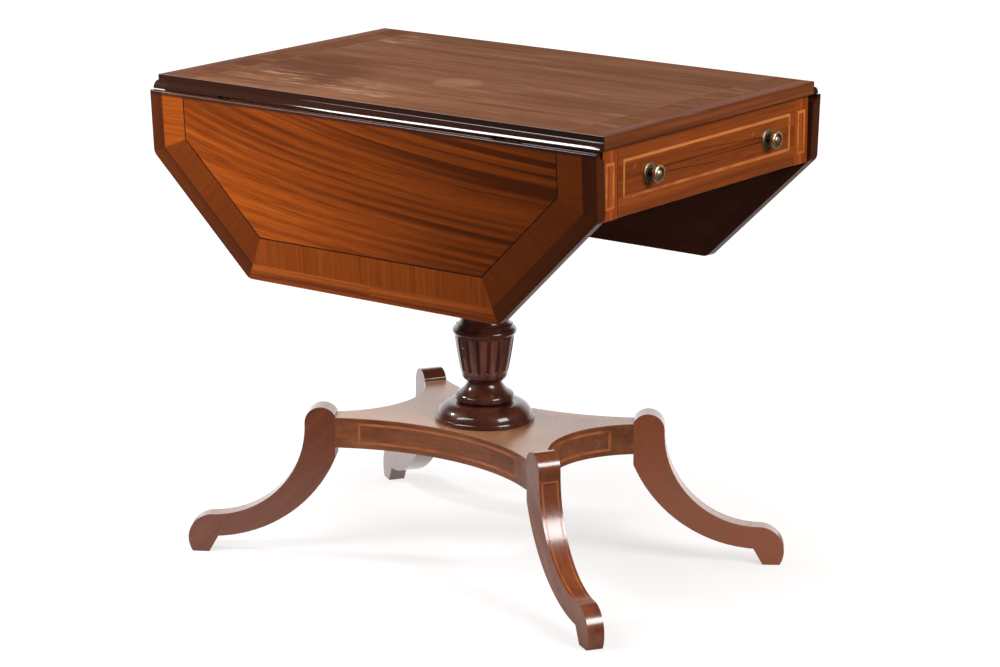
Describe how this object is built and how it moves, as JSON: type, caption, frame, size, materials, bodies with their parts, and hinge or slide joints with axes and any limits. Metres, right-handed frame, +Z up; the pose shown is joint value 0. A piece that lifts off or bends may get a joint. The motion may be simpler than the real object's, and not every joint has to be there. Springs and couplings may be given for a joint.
{
  "type": "drop-leaf occasional table",
  "caption": "Drop-leaf occasional table in crossbanded mahogany: rule-jointed leaves with canted corners, frieze drawer with brass knobs, fluted column, hollow-sided platform and sabre legs.",
  "frame": {"origin": "on the floor, under the axis of the column", "axes": "+Z up; +Y along the table's longer side, from the drawer end to the dummy end; +X across, towards the right-hand leaf"},
  "size_m": [0.5556, 0.8148, 0.72],
  "materials": {
    "mahogany": "polished",
    "edging": "polished",
    "crossband": "polished",
    "dark_line": "polished",
    "satinwood": "polished",
    "lining": "bare",
    "brass": "antique",
    "steel": "dull"
  },
  "bodies": {
    "table": {"column": "mahogany", "column_bearer": "lining", "column_bolt": "steel", "column_washer": "steel", "drawer_runner_left": "lining", "drawer_runner_right": "lining", "drawer_stops": "lining", "dummy_front": "mahogany", "dummy_knob_left": "brass", "dummy_knob_right": "brass", "dummy_stringing": "satinwood", "fly_bracket_left": "lining", "fly_bracket_right": "lining", "fly_pins": "steel", "fly_rail_back_left": "lining", "fly_rail_back_right": "lining", "fly_rail_front_left": "lining", "fly_rail_front_right": "lining", "hinge_pins": "brass", "hinge_plate_left": "brass", "hinge_plate_right": "brass", "leg_back_left": "mahogany", "leg_back_right": "mahogany", "leg_dowels": "lining", "leg_front_left": "mahogany", "leg_front_right": "mahogany", "leg_stringing": "satinwood", "platform": "mahogany", "platform_stringing": "satinwood", "post_back_left": "mahogany", "post_back_right": "mahogany", "post_front_left": "mahogany", "post_front_right": "mahogany", "post_stringing": "satinwood", "side_rail_left": "lining", "side_rail_right": "lining", "top_crossband": "crossband", "top_edging": "edging", "top_panel": "mahogany", "top_stringing": "dark_line"},
    "leaf_left": {"leaf_left": "mahogany", "leaf_left_edging": "edging", "leaf_left_crossband": "crossband", "leaf_left_stringing": "dark_line", "hinge_flap_left": "brass"},
    "leaf_right": {"leaf_right": "mahogany", "leaf_right_edging": "edging", "leaf_right_crossband": "crossband", "leaf_right_stringing": "dark_line", "hinge_flap_right": "brass"},
    "drawer": {"drawer_front": "mahogany", "drawer_stringing": "satinwood", "drawer_side_right": "lining", "drawer_side_left": "lining", "drawer_back": "lining", "drawer_bottom": "lining", "drawer_knob_right": "brass", "drawer_knob_left": "brass"}
  },
  "joints": [
    {"name": "leaf_left_hinge", "type": "hinge", "parent": "table", "child": "leaf_left", "pos_m": [-0.259, 0, 0.701], "axis": [0, 1, 0], "range_deg": [0, 93.27]},
    {"name": "leaf_right_hinge", "type": "hinge", "parent": "table", "child": "leaf_right", "pos_m": [0.259, 0, 0.701], "axis": [0, -1, 0], "range_deg": [0, 93.27]},
    {"name": "drawer_slide", "type": "slide", "parent": "table", "child": "drawer", "axis": [0, -1, 0], "range_m": [0, 0.21]}
  ]
}
